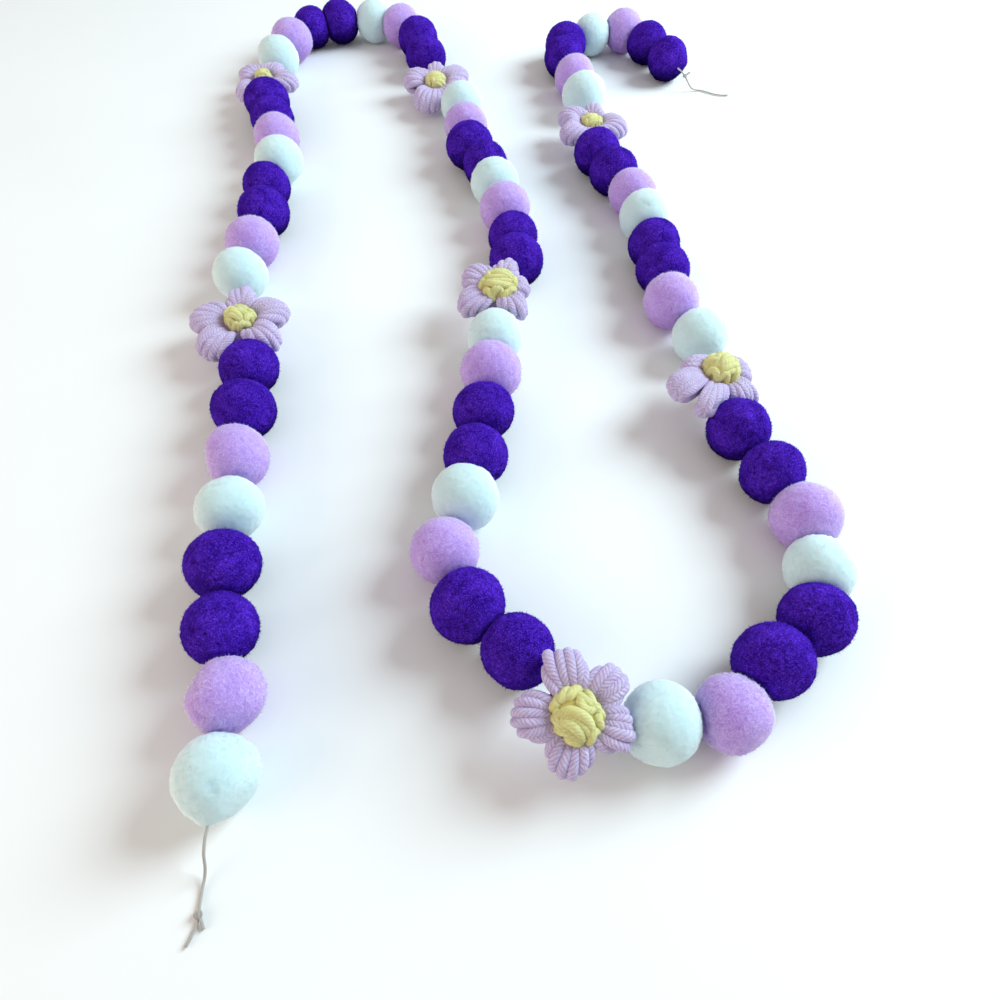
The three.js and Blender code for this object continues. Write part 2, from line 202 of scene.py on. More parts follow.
# How each flower sits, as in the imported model: its size, and the tilt of its face with the
# direction in which it leans. spin is the turn of its first petal, and turns how far each petal
# stands from its even place. over is the share of its full reach that a petal keeps where it lies
# over a ball. fan is how wide its petals are and long how long each is, over the usual. dome_size
# is how wide, deep and high its yellow middle is over the usual, dome_place its shift in
# millimetres, and dome_turn the direction of its wide side. Angles are in degrees.
FLOWERS = [
    {"size": 1.1, "tilt": 4, "lean": -90, "spin": 25, "turns": (2, -4, 1, -10, 11), "over": 0.0,
     "fan": 0.96, "long": (1.0, 0.84, 1.02, 1.0, 1.0),
     "dome_size": (0.86, 0.8, 0.8), "dome_place": (0.6, 0.4), "dome_turn": 0},
    {"size": 1.02, "tilt": 3, "lean": -120, "spin": 5, "turns": (-8, -4, -9, 12, 7), "over": 0.0,
     "fan": 1.0, "long": (1.0, 0.95, 0.95, 1.0, 1.0),
     "dome_size": (0.66, 0.7, 0.75), "dome_place": (0.0, 0.5), "dome_turn": 0},
    {"size": 1.1, "tilt": 8, "lean": -90, "spin": 27, "turns": (11, -8, -15, 9, 5), "over": 0.0,
     "fan": 1.05, "long": (1.0, 0.8, 0.98, 1.0, 1.0),
     "dome_size": (0.8, 0.75, 0.7), "dome_place": (-0.6, 1.0), "dome_turn": -10},
    {"size": 0.93, "tilt": 9, "lean": -90, "spin": 6, "turns": (2, -14, -12, -6, 14), "over": 0.8,
     "fan": 1.0, "long": (0.82, 0.9, 0.98, 1.03, 1.02),
     "dome_size": (1.12, 1.0, 0.95), "dome_place": (1.2, 0.6), "dome_turn": 10},
    {"size": 0.95, "tilt": 20, "lean": -100, "spin": 40, "turns": (-4, -14, 1, 5, 13), "over": 0.93,
     "fan": 1.1, "long": (1.0, 1.0, 1.0, 1.0, 1.06),
     "dome_size": (1.12, 0.98, 0.95), "dome_place": (0.8, -1.0), "dome_turn": -58},
    {"size": 1.02, "tilt": 12, "lean": 30, "spin": 46, "turns": (-8, 12, 12, -8, -10), "over": 0.8,
     "fan": 0.86, "long": (1.06, 0.76, 1.04, 1.06, 1.0),
     "dome_size": (0.98, 0.98, 1.05), "dome_place": (3.0, 4.4), "dome_turn": 20},
    {"size": 1.02, "tilt": 3, "lean": -90, "spin": 1, "turns": (-8, 6, 1, -3, -7), "over": 0.0,
     "fan": 1.05, "long": (1.0, 0.78, 1.0, 1.0, 1.0),
     "dome_size": (0.8, 0.7, 0.6), "dome_place": (0.0, 0.6), "dome_turn": 0},
]

# The line of a petal's middle strand from the middle of the flower, over the crown and the tip, and
# back underneath. share is how far it has come towards the tip, z its height over the flower's
# middle plane, and fan how wide the petal's strands lie there over their widest.
PETAL_LINE = [
    {"share": 0.0, "z": 0.8, "fan": 0.9},
    {"share": 0.22, "z": 2.9, "fan": 1.0},
    {"share": 0.5, "z": 4.0, "fan": 1.0},
    {"share": 0.78, "z": 3.5, "fan": 0.88},
    {"share": 0.95, "z": 1.7, "fan": 0.75},
    {"share": 1.0, "z": -0.5, "fan": 0.7},
    {"share": 0.88, "z": -2.5, "fan": 0.76},
    {"share": 0.5, "z": -3.1, "fan": 0.9},
    {"share": 0.08, "z": -3.0, "fan": 0.9},
]

# The shape of a petal. PETAL_FAN is how far its outer strands lie from its middle in degrees, and
# PETAL_NOTCH, PETAL_ROUND and PETAL_SLOPE how much shorter and lower they are, as shares. A strand
# that a ball presses by more than PETAL_PRESS is drawn in by steps, down to the share PETAL_LEAST.
PETAL_FAN = 28
PETAL_SPREAD = 1.05
PETAL_TIP = 20.5
PETAL_LEAST = 0.72
PETAL_ROOM = 2
STRAND_ROOM = 1.5
FLAT_LEAST = 0.4
FLAT_ROOM = 14
PETAL_NOTCH = 0.28
PETAL_ROUND = 0.1
PETAL_SLOPE = 0.42
PETAL_PRESS = 1.6
DRAW_IN_STEPS = 6
DRAW_IN = 0.8
REACH_MORE = 0.8
REACH_SIDE = 0.8

# How much the strands differ, in millimetres and degrees.
STRAND_THICKNESS = (0.94, 1.08)
TIP_UNEVEN = 0.35
TURN_UNEVEN = 0.7
SWAY_UNEVEN = 1.2
RISE_UNEVEN = 0.3

# How a strand swells from its ends to its middle, and its tone from its foot outwards, which is
# painted shade, deepest at its foot where the strands crowd together.
SWELL_LEAST = 0.62
SWELL_MORE = 0.42
SWELL_RUN = 1.1
SWELL_POWER = 0.7
FOOT_SHADE = {"share": [0, 0.14, 1], "tone": [0.35, 1.0, 1.0]}

# How a petal's strands are laid over a ball: how much of its push each keeps, and takes from the
# strands beside it and the points along it, and how far it sinks into the pile.
DRAPE_ROUNDS = 14
DRAPE_OWN = 0.3
DRAPE_BESIDE = 0.25
DRAPE_ALONG = 0.1
STRAND_SINK = 0.7

# The filling of a petal: its place and half sizes over the room in the petal.
FILL_PLACE = 0.45
FILL_LONG = 0.5
FILL_WIDE = 0.33
FILL_HIGH = 2.3
# The filling's tone is painted shade, as it lies down between the strands.
FILL_SHADE = 0.4
PUFF_DETAIL = 3

# The thread of the two tails, in millimetres, from the last pompom to the cut end.
THREAD_DIAMETER = 0.9
THREAD_FULL = 1.03
THREAD_PITCH = 3.2
THREAD_SIDES = 10
THREAD_STEP = 0.5
TAIL_START = {
    "knot": 8,
    "loose_end": (-64.6, -286.6, 0.6),
    "route": [
        (-65.2, -261.2, 12.4), (-65.3, -264.8, 12.1), (-65.6, -268.3, 9.9),
        (-66.1, -269.9, 6.8), (-66.5, -271.4, 3.9), (-66.9, -273.6, 1.7),
        (-67.2, -276.5, 0.8), (-67.1, -279.7, 0.7), (-66.7, -282.9, 1.1),
        (-66.9, -285.6, 0.7), (-67.6, -288.2, 0.7), (-68.6, -290.8, 0.7),
    ],
}
TAIL_FINISH = {
    "knot": 2,
    "loose_end": (139.2, 178.9, 11.4),
    "route": [
        (131.5, 181.9, 12.4), (133.8, 180.0, 11.3), (136.2, 178.7, 9.2),
        (138.3, 178.2, 6.5), (140.2, 177.9, 3.9), (142.4, 178.0, 1.7),
        (145.2, 178.3, 0.8), (148.4, 177.7, 0.7), (151.4, 176.0, 0.7),
        (154.4, 174.0, 0.7), (157.6, 172.5, 0.7), (161.0, 171.9, 0.7),
        (164.6, 172.1, 0.7),
    ],
}

# The knots: rings of thread round one middle, each turned by tilt in radians, and a loose end.
KNOT_WRAPS = [{"tilt": 0.3, "wide": 1.0}, {"tilt": 1.25, "wide": 0.9}, {"tilt": 2.2, "wide": 0.95}]
KNOT_CORNERS = 8
KNOT_DEEP = 0.8
KNOT_WAVE = 0.16
KNOT_HIGH = 0.75
KNOT_LOWEST = 1.35
KNOT_STEP = 0.3
KNOT_SIDES = 8
KNOT_RADIUS = 0.46
# The knot's rings are painted a little shaded, as they lie in each other's shade.
KNOT_SHADE = 0.9
LOOSE_RADIUS = 0.5
LOOSE_BEND = (0.3, 0, 0.2)

# The looks of the pile: the colours of its gaps, which are also its painted shade underneath, its
# body and its tips, how strongly these differ and how deep the painted shade goes, its sheen, and how
# much light goes through.
PILES = {
    "white": ((0.52, 0.66, 0.67), (0.57, 0.74, 0.76), (0.62, 0.79, 0.80), 0.3, 0.1, 1.0),
    "lilac": ((0.40, 0.21, 0.60), (0.52, 0.335, 0.80), (0.70, 0.56, 0.97), 0.85, 0.12, 0.8),
    "violet": ((0.003, 0.0002, 0.03), (0.023, 0.0016, 0.23), (0.175, 0.045, 0.92), 0.9, 0.02, 0.0),
}

# The looks of the yarn: the painted shade between its strands and between its plies, the colour of
# its body, and of its tips and flecks, which is also a painted highlight on the crowns of its plies,
# how strongly the plies show, and how much light goes through.
YARNS = {
    "thread": (
        (0.28, 0.25, 0.22), (0.42, 0.38, 0.34), (0.56, 0.52, 0.47), (0.75, 0.72, 0.68), 0.6, 0.0),
    "petal": (
        (0.27, 0.16, 0.33), (0.43, 0.30, 0.52), (0.56, 0.43, 0.71), (0.82, 0.78, 1.0), 0.6, 0.12),
    "dome": (
        (0.58, 0.42, 0.09), (0.66, 0.57, 0.17), (0.76, 0.71, 0.27), (0.86, 0.91, 0.54), 0.3, 0.12),
}

# The scales of the noises in the materials, and how far light goes into pile and yarn, in metres.
PILE_SPECKLE = 1900
PILE_PATCHES = 150
YARN_SPECKLE = 2400
YARN_PATCHES = 230
YARN_SWAY = 300
FLOOR_CLOUD = 9
PILE_GLOW_DEPTH = 0.011
YARN_GLOW_DEPTH = 0.0015

# The surroundings, in metres and watts.
FLOOR_SIDE = 4.0
LIGHTS = [
    {"name": "window", "place": (1.0, 0.35, 0.75), "size": 0.8, "power": 23,
     "colour": (0.74, 0.93, 1.0)},
    {"name": "room", "place": (-1.1, -0.6, 0.5), "size": 1.0, "power": 7.5,
     "colour": (1.0, 0.82, 0.64)},
]
ROOM_COLOUR = (1.0, 0.98, 0.97, 1)
ROOM_STRENGTH = 0.46


# Camera

def new_object(name, data):
    made = bpy.data.objects.new(name, data)
    bpy.context.scene.collection.objects.link(made)
    return made


def make_camera():
    data = bpy.data.cameras.new("camera")
    data.sensor_width = SENSOR_WIDTH
    data.lens = SENSOR_WIDTH * FOCAL_PIXELS / FRAME_PIXELS
    data.clip_start = 0.01
    camera = new_object("camera", data)
    camera.location = CAMERA_PLACE
    camera.rotation_euler = (math.radians(90 - CAMERA_DOWN), 0, 0)
    bpy.context.scene.camera = camera


# Meshes from arrays

def mesh_object(name, points, triangles, tone, strand):
    """A smooth mesh object from points in millimetres, with a tone for each point and, where it is
    given, a place along the yarn for each corner."""
    mesh = bpy.data.meshes.new(name)
    mesh.vertices.add(len(points))
    mesh.vertices.foreach_set("co", (points * MM).astype(np.float32).ravel())
    mesh.loops.add(triangles.size)
    mesh.loops.foreach_set("vertex_index", triangles.astype(np.int32).ravel())
    mesh.polygons.add(len(triangles))
    mesh.polygons.foreach_set("loop_start", np.arange(0, triangles.size, 3, dtype=np.int32))
    mesh.update()
    mesh.polygons.foreach_set("use_smooth", np.ones(len(triangles), bool))
    attribute = mesh.attributes.new("tone", "FLOAT", "POINT")
    attribute.data.foreach_set("value", tone.astype(np.float32))
    if strand is not None:
        layer = mesh.uv_layers.new(name="strand")
        layer.data.foreach_set("uv", strand.astype(np.float32).ravel())
    mesh.validate()
    return new_object(name, mesh)


class Collector:
    """Gathers several closed forms into the arrays of one mesh."""

    def __init__(self):
        self.points, self.triangles, self.tones, self.strands = [], [], [], []
        self.count = 0

    def add(self, points, triangles, tone, strand=None):
        self.points.append(points)
        self.triangles.append(triangles + self.count)
        self.tones.append(np.broadcast_to(tone, (len(points),)))
        if strand is not None:
            self.strands.append(strand)
        self.count += len(points)

    def make(self, name):
        strand = np.concatenate(self.strands) if self.strands else None
        points, tones = np.concatenate(self.points), np.concatenate(self.tones)
        return mesh_object(name, points, np.concatenate(self.triangles), tones, strand)


def unit(vectors):
    """The vectors, each brought to a length of 1."""
    return vectors / np.linalg.norm(vectors, axis=1, keepdims=True)


def plain(triangles):
    """The place along the yarn of forms that show no plies, for each corner."""
    return np.tile([0.0, 0.1], (triangles.size, 1))


def lifted(points):
    """The points, none of them under the surface that the garland lies on."""
    points[:, 2] = np.maximum(points[:, 2], FLOOR_CLEAR)
    return points


def smooth_path(corners, steps):
    """Points along the Catmull-Rom curve through the corners, evenly spread over their number."""
    corners = np.asarray(corners, float)
    padded = np.vstack([2 * corners[0] - corners[1], corners, 2 * corners[-1] - corners[-2]])
    at = np.linspace(0, len(corners) - 1, steps)
    span = np.minimum(at.astype(int), len(corners) - 2)
    t = (at - span)[:, None]
    a, b, c, d = (padded[span + k] for k in range(4))
    cubic = (3 * b - a - 3 * c + d) * t**3
    return 0.5 * (2 * b + (c - a) * t + (2 * a - 5 * b + 4 * c - d) * t**2 + cubic)


def even_path(corners, spacing):
    """The smooth path through the corners, with a point for each length of spacing."""
    fine = smooth_path(corners, PATH_FINENESS * len(corners))
    run = np.concatenate([[0], np.cumsum(np.linalg.norm(np.diff(fine, axis=0), axis=1))])
    at = np.linspace(0, run[-1], max(4, int(round(run[-1] / spacing)) + 1))
    return np.stack([np.interp(at, run, fine[:, k]) for k in range(3)], axis=1)


def path_frames(path):
    """The run along a path, and two directions across it that turn as little as they can."""
    ahead = unit(np.gradient(path, axis=0))
    start = np.array([0, 0, 1.0]) if abs(ahead[0][2]) < 0.9 else np.array([1.0, 0, 0])
    side = start - ahead[0] * start.dot(ahead[0])
    sides = []
    for direction in ahead:
        side = side - direction * side.dot(direction)
        side = side / np.linalg.norm(side)
        sides.append(side)
    sides = np.array(sides)
    run = np.concatenate([[0], np.cumsum(np.linalg.norm(np.diff(path, axis=0), axis=1))])
    return run, sides, np.cross(ahead, sides)


def yarn(path, radius, sides, pitch, start=0.0):
    """A closed tube of plied yarn: points, triangles and, for each corner, its place round and
    along it. radius may be one number or one for each point of the path."""
    run, across, over = path_frames(path)
    radius = np.broadcast_to(radius, (len(path),))
    along = run / pitch + start
    around = np.arange(sides) / sides
    ridge = np.abs(np.sin(np.pi * (PLIES * around[None, :] + PLIES * along[:, None])))
    reach = radius[:, None] * (1 - PLY_DEPTH + PLY_DEPTH * RIDGE * ridge)
    angle = 2 * np.pi * around + np.pi
    rings = (
        path[:, None, :]
        + (reach * np.cos(angle))[:, :, None] * across[:, None, :]
        + (reach * np.sin(angle))[:, :, None] * over[:, None, :]
    )
    points = np.vstack([rings.reshape(-1, 3), path[:1], path[-1:]])
    row, column = np.meshgrid(np.arange(len(path) - 1), np.arange(sides), indexing="ij")
    row, column = row.ravel(), column.ravel()
    beside = (column + 1) % sides
    a, b = row * sides + column, row * sides + beside
    c, d = (row + 1) * sides + beside, (row + 1) * sides + column
    body = np.stack([a, b, c, a, c, d], axis=1).reshape(-1, 3)
    u0, u1 = column / sides, (column + 1) / sides
    v0, v1 = along[row], along[row + 1]
    corner_u = np.stack([u0, u1, u1, u0, u1, u0], axis=1)
    corner_v = np.stack([v0, v0, v1, v0, v1, v1], axis=1)
    first, last = len(points) - 2, len(points) - 1
    k, end = np.arange(sides), (len(path) - 1) * sides
    caps = np.vstack([
        np.stack([np.full(sides, first), (k + 1) % sides, k], axis=1),
        np.stack([np.full(sides, last), end + k, end + (k + 1) % sides], axis=1),
    ])
    u = np.append(corner_u, np.tile(np.repeat(around, 3), 2))
    v = np.append(corner_v, np.repeat([along[0], along[-1]], 3 * sides))
    return points, np.vstack([body, caps]), np.stack([u, v], axis=1)


# Materials

def new_material(name):
    material = bpy.data.materials.new(name)
    material.use_nodes = True
    tree = material.node_tree
    return material, tree, tree.nodes["Principled BSDF"]


def node(tree, kind, **values):
    made = tree.nodes.new(kind)
    for key, value in values.items():
        setattr(made, key, value)
    return made


def settle(made, values):
    """Sets the sockets of a node, by their names."""
    for name, value in values.items():
        made.inputs[name].default_value = value


def noise(tree, place, scale, detail, roughness):
    made = node(tree, "ShaderNodeTexNoise")
    settle(made, {"Scale": scale, "Detail": detail, "Roughness": roughness})
    tree.links.new(place, made.inputs["Vector"])
    return made.outputs["Fac"]


def ranged(tree, value, low, high, to_low=0.0, to_high=1.0):
    made = node(tree, "ShaderNodeMapRange")
    tree.links.new(value, made.inputs["Value"])
    settle(made, {"From Min": low, "From Max": high, "To Min": to_low, "To Max": to_high})
    return made.outputs["Result"]


def maths(tree, operation, a, b=None):
    made = node(tree, "ShaderNodeMath", operation=operation)
    for socket, value in zip(made.inputs, (a, b)):
        if isinstance(value, (int, float)):
            socket.default_value = value
        elif value is not None:
            tree.links.new(value, socket)
    return made.outputs[0]


def times(tree, a, b):
    return maths(tree, "MULTIPLY", a, b)


def blend(tree, factor, low, high):
    made = node(tree, "ShaderNodeMix", data_type="RGBA")
    tree.links.new(factor, made.inputs["Factor"])
    for socket, colour in ((made.inputs["A"], low), (made.inputs["B"], high)):
        if isinstance(colour, tuple):
            socket.default_value = (*colour, 1)
        else:
            tree.links.new(colour, socket)
    return made.outputs["Result"]


def bump(tree, shader, height, strength, distance):
    made = node(tree, "ShaderNodeBump")
    settle(made, {"Strength": strength, "Distance": distance})
    tree.links.new(height, made.inputs["Height"])
    tree.links.new(made.outputs["Normal"], shader.inputs["Normal"])


def pile_material(name, low, middle, high, grain, sheen, glow):
    """Short close pile: a fine speckle of fibre tips over darker gaps, in soft patches, with painted
    shade that makes it darker underneath and lighter on top."""
    material, tree, shader = new_material(name)
    place = node(tree, "ShaderNodeTexCoord").outputs["Object"]
    fine = noise(tree, place, PILE_SPECKLE, 3, 0.7)
    patches = noise(tree, place, PILE_PATCHES, 2, 0.5)
    tone = node(tree, "ShaderNodeAttribute", attribute_name="tone").outputs["Fac"]
    speckle = ranged(tree, fine, 0.4, 0.6, 1 - 0.6 * grain, 1)
    # The tone carries the painted shade, so more of the tip colour shows on top of a ball.
    lift = times(tree, ranged(tree, patches, 0.3, 0.7, 0.3, 1.0), tone)
    tips = times(tree, ranged(tree, fine, 0.52, 0.68), grain)
    lift = maths(tree, "ADD", lift, times(tree, tips, 0.5))
    shown = blend(tree, lift, middle, high)
    # Painted shade: where the tone is low, under a ball, the colour goes towards the gap colour.
    shade_factor = ranged(tree, tone, 0.06, 0.38, 1 - grain, 1)
    colour = blend(tree, times(tree, speckle, shade_factor), low, shown)
    tree.links.new(colour, shader.inputs["Base Color"])
    settle(shader, {
        "Roughness": 0.95, "Specular IOR Level": 0.02,
        "Sheen Weight": sheen, "Sheen Roughness": 0.55, "Sheen Tint": (*high, 1),
        "Subsurface Weight": glow, "Subsurface Radius": (1.0, 0.85, 0.9),
        "Subsurface Scale": PILE_GLOW_DEPTH,
    })
    bump(tree, shader, fine, 0.75 * grain, 0.0005)
    return material


def yarn_material(name, crevice_shade, shade, middle, high, ply, glow):
    """Plied yarn: rounded plies with painted shade in soft lines between them and a painted highlight
    on their crowns, fine fibres along them, and painted shade where strands meet."""
    material, tree, shader = new_material(name)
    strand = node(tree, "ShaderNodeUVMap", uv_map="strand").outputs["UV"]
    place = node(tree, "ShaderNodeTexCoord").outputs["Object"]
    split = node(tree, "ShaderNodeSeparateXYZ")
    tree.links.new(strand, split.inputs[0])
    sway = times(tree, noise(tree, place, YARN_SWAY, 3, 0.6), 0.3)
    turns = maths(tree, "ADD", maths(tree, "ADD", split.outputs["X"], split.outputs["Y"]), sway)
    wave = maths(tree, "SINE", times(tree, turns, PLIES * math.pi))
    ridge = maths(tree, "ABSOLUTE", wave)
    along = node(tree, "ShaderNodeCombineXYZ")
    tree.links.new(times(tree, turns, PLIES * 7.0), along.inputs["X"])
    tree.links.new(times(tree, split.outputs["Y"], 9.0), along.inputs["Y"])
    streaks = noise(tree, along.outputs[0], 1.0, 2, 0.6)
    fine = noise(tree, place, YARN_SPECKLE, 3, 0.7)
    patches = noise(tree, place, YARN_PATCHES, 2, 0.5)
    tone = node(tree, "ShaderNodeAttribute", attribute_name="tone").outputs["Fac"]
    # Painted shade: the grooves between the plies go towards the shade colour.
    body = blend(tree, ranged(tree, ridge, 0.0, 0.8, 1 - ply, 1), shade, middle)
    # Painted highlight: the crowns of the plies, in streaks, go towards the tip colour.
    crown = times(tree, ranged(tree, ridge, 0.3, 1.0), ranged(tree, streaks, 0.38, 0.66))
    flecks = times(tree, ranged(tree, fine, 0.4, 0.7), 0.5)
    soft = ranged(tree, patches, 0.3, 0.7, 0.35, 0.9)
    lift = times(tree, maths(tree, "ADD", crown, flecks), soft)
    shown = blend(tree, lift, body, high)
    # Painted shade: where the tone is low, where strands crowd together, the yarn goes towards the
    # crevice colour.
    colour = blend(tree, tone, crevice_shade, shown)
    tree.links.new(colour, shader.inputs["Base Color"])
    settle(shader, {
        "Roughness": 0.75, "Specular IOR Level": 0.2,
        "Sheen Weight": 0.3, "Sheen Roughness": 0.45, "Sheen Tint": (*high, 1),
        "Subsurface Weight": glow, "Subsurface Radius": (1.0, 0.8, 0.9),
        "Subsurface Scale": YARN_GLOW_DEPTH,
    })
    grooves = times(tree, streaks, 0.6)
    height = maths(tree, "ADD", times(tree, ridge, ply), grooves)
    height = maths(tree, "ADD", height, times(tree, fine, 0.9))
    bump(tree, shader, height, 0.8, 0.00045)
    return material


def floor_material():
    material, tree, shader = new_material("floor")
    place = node(tree, "ShaderNodeTexCoord").outputs["Object"]
    cloud = ranged(tree, noise(tree, place, FLOOR_CLOUD, 2, 0.5), 0.2, 0.8)
    colour = blend(tree, cloud, (0.90, 0.90, 0.90), (0.93, 0.93, 0.93))
    tree.links.new(colour, shader.inputs["Base Color"])
    settle(shader, {"Roughness": 0.8})
    return material


# Pompoms

def node_points(name):
    """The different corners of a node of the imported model, in millimetres."""
    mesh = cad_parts[name].data
    points = np.zeros(len(mesh.vertices) * 3)
    mesh.vertices.foreach_get("co", points)
    return np.unique(np.round(points.reshape(-1, 3) / MM, 3), axis=0)


def balls_of(name):
    """The ball or balls of a node, from their flat feet."""
    points = node_points(name)
    feet = points[points[:, 2] < FOOT_HEIGHT][:, :2]
    near = np.linalg.norm(feet - feet[0], axis=1) < FOOT_ACROSS
    groups = [feet[near]] if near.all() else [feet[near], feet[~near]]
    balls = []
    for group in groups:
        x, y = group.mean(axis=0)
        close = np.linalg.norm(points[:, :2] - (x, y), axis=1) < TOP_ASIDE
        radius = points[close][:, 2].max() / (1 + SEAT)
        balls.append({"middle": np.array([x, y, radius * SEAT]), "radius": radius})
    return balls


def string_of_balls():
    """Every ball in its order along the string, with its node."""
    balls = []
    for quad in range(1, QUADS + 1):
        for kind in ("white", "lilac", "violet_pair"):
            name = f"{kind}_{quad:02d}"
            found = balls_of(name)
            if len(found) > 1:
                before = balls[-1]["middle"]
                found.sort(key=lambda ball: np.linalg.norm(ball["middle"] - before))
            balls += [dict(ball, node=name) for ball in found]
    for index, ball in enumerate(balls):
        ball["index"] = index
        ball["piece"] = index + index // GROUP
    return balls


def unit_sphere(detail):
    """Directions and triangles of an evenly divided sphere."""
    bm = bmesh.new()
    bmesh.ops.create_icosphere(bm, subdivisions=detail, radius=1)
    bmesh.ops.triangulate(bm, faces=bm.faces)
    directions = np.array([vertex.co for vertex in bm.verts])
    triangles = np.array([[vertex.index for vertex in face.verts] for face in bm.faces])
    bm.free()
    return directions, triangles


def waves(directions, draw, count, frequency, amplitude):
    """Soft random unevenness over a sphere's directions."""
    vectors = draw.normal(size=(count, 3))
    vectors *= frequency / np.linalg.norm(vectors, axis=1, keepdims=True)
    phases = draw.uniform(0, 2 * np.pi, count)
    return amplitude * np.sin(directions @ vectors.T + phases).mean(axis=1) * math.sqrt(count)


def soft_limit(value, limit, softness):
    """The value, bent smoothly so that it doesn't pass the limit."""
    over = (value - limit) / softness
    return value - softness * np.logaddexp(0, over)


def direction_of(azimuth, elevation):
    turn, rise = math.radians(azimuth), math.radians(elevation)
    flat = math.cos(rise)
    return np.array([math.cos(turn) * flat, math.sin(turn) * flat, math.sin(rise)])


def creases_of(ball, draw):
    """Where the pile of a ball parts: short grooves, each from one direction to another."""
    made = []
    for row in CREASES:
        if row["ball"] == ball["index"]:
            made.append((direction_of(*row["start"]), direction_of(*row["end"]), row["depth"]))
    for _ in range(draw.integers(0, MORE_CREASES + 1)):
        start = direction_of(draw.uniform(-180, 180), draw.uniform(0, CREASE_START))
        end = start + draw.normal(scale=CREASE_RUN, size=3)
        made.append((start, end / np.linalg.norm(end), draw.uniform(*CREASE_DEPTH)))
    return made


def touching(ball, other):
    """Whether two balls are less than a millimetre apart."""
    apart = np.linalg.norm(other["middle"] - ball["middle"])
    return apart < other["radius"] + ball["radius"] + 1


class Felt:
    """The surface of one ball's pile."""

    def __init__(self, ball, balls):
        self.ball = ball
        self.seed = (SEED, ball["index"])
        self.flats = [row for row in FLATS if row["ball"] == ball["index"]]
        self.peaks = [row for row in PEAKS if row["ball"] == ball["index"]]
        self.creases = creases_of(ball, np.random.default_rng((SEED + 3, ball["index"])))
        self.near = [other for other in balls if other is not ball and touching(ball, other)]

    @staticmethod
    def groove(directions, start, end):
        """1 in the bottom of the groove between two directions, and 0 away from it."""
        line = end - start
        share = np.clip((directions - start) @ line / line.dot(line), 0, 1)
        off = np.linalg.norm(directions - start - share[:, None] * line, axis=1)
        return np.exp(-((off / CREASE_WIDTH) ** 2))

    def points(self, directions):
        """Places on the surface in these directions, and how far each is pressed in."""
        draw = np.random.default_rng(self.seed)
        piece = self.ball["piece"]
        turn = np.arctan2(directions[:, 1], directions[:, 0])
        level = 1 - directions[:, 2] ** 2
        uneven = EGG * np.cos(2 * (turn - piece)) * abs(math.sin(EGG_STEP * piece)) * level
        for row in WAVES:
            uneven += waves(directions, draw, **row)
        reach = (self.ball["radius"] - PILE) * (1 + uneven)
        for start, end, depth in self.creases:
            reach -= depth * self.groove(directions, start, end)
        for row in self.peaks:
            near = np.clip(directions @ direction_of(*row["toward"]), -1, 1)
            reach += row["height"] * np.exp(-((np.degrees(np.arccos(near)) / row["wide"]) ** 2))
        away = directions * reach[:, None]
        for row in self.flats:
            toward = direction_of(*row["toward"])
            depth = away @ toward
            held = soft_limit(depth, self.ball["radius"] - PILE - row["depth"], FLAT_SOFTNESS)
            away += toward * (held - depth)[:, None]
        pressed = np.zeros(len(away))
        for other in self.near:
            toward = other["middle"] - self.ball["middle"]
            apart = np.linalg.norm(toward)
            toward = toward / apart
            shared = (apart**2 + self.ball["radius"] ** 2 - other["radius"] ** 2) / (2 * apart)
            depth = away @ toward
            held = soft_limit(depth, shared - PRESS_GAP, PRESS_SOFTNESS)
            away += toward * (held - depth)[:, None]
            pressed = np.maximum(pressed, depth - held)
        places = self.ball["middle"] + away
        places[:, 2] = -soft_limit(-places[:, 2], -FLOOR_CLEAR, FLOOR_SOFTNESS)
        return places, pressed


def spread_directions(count, draw):
    """Directions spread evenly over a sphere, each a little off its place."""
    k = np.arange(count) + 0.5
    polar = np.arccos(1 - 2 * k / count)
    turn = np.pi * (1 + math.sqrt(5)) * k
    across = np.sin(polar)
    even = np.stack([np.cos(turn) * across, np.sin(turn) * across, np.cos(polar)], axis=1)
    even += draw.normal(scale=0.35 * math.sqrt(4 * np.pi / count), size=even.shape)
    return unit(even)


def spikes(roots, outward, draw, width, lengths, unruly):
    """Slim three-sided fibre ends that stand on their roots and lean every way, as points and
    triangles."""
    count = len(roots)
    heading = unit(outward + draw.normal(scale=unruly, size=(count, 3)))
    length = draw.uniform(*lengths, count)
    length[draw.random(count) < STRAY_SHARE] *= STRAY_LENGTH
    across = unit(np.cross(heading, draw.normal(size=(count, 3))))
    over = np.cross(heading, across)
    corners = []
    for k in range(3):
        angle = 2 * math.pi * k / 3
        corners.append(roots + width * (math.cos(angle) * across + math.sin(angle) * over))
    corners.append(roots + heading * length[:, None])
    points = np.stack(corners, axis=1)
    a, b, c, tip = (4 * np.arange(count) + k for k in range(4))
    triangles = np.stack([a, b, tip, b, c, tip, c, a, tip], axis=1).reshape(-1, 3)
    return lifted(points.reshape(-1, 3)), triangles


def underside_shading(directions):
    """Painted shade of the pile: 1 on top of a ball, and less towards its underside."""
    return np.clip((directions[:, 2] - SHADE_LOW) / SHADE_SPAN, SHADE_LEAST, 1)


def fibres(felt, draw):
    """The fibre tips of one ball's pile, none where it presses on a neighbour or on the surface."""
    kind = felt.ball["node"].split("_")[0]
    directions = spread_directions(FIBRES[kind], draw)
    roots, pressed = felt.points(directions)
    shown = (pressed < FIBRE_PRESS) & (roots[:, 2] > FIBRE_LOWEST)
    directions, roots = directions[shown], roots[shown] - directions[shown] * FIBRE_ROOT
    points, triangles = spikes(
        roots, directions, draw, FIBRE_WIDTH, FIBRE_LENGTH[kind], UNRULY[kind])
    # The fibres take the painted shade of where they stand on the ball.
    return points, triangles, np.outer(underside_shading(directions), FIBRE_TONES).ravel()


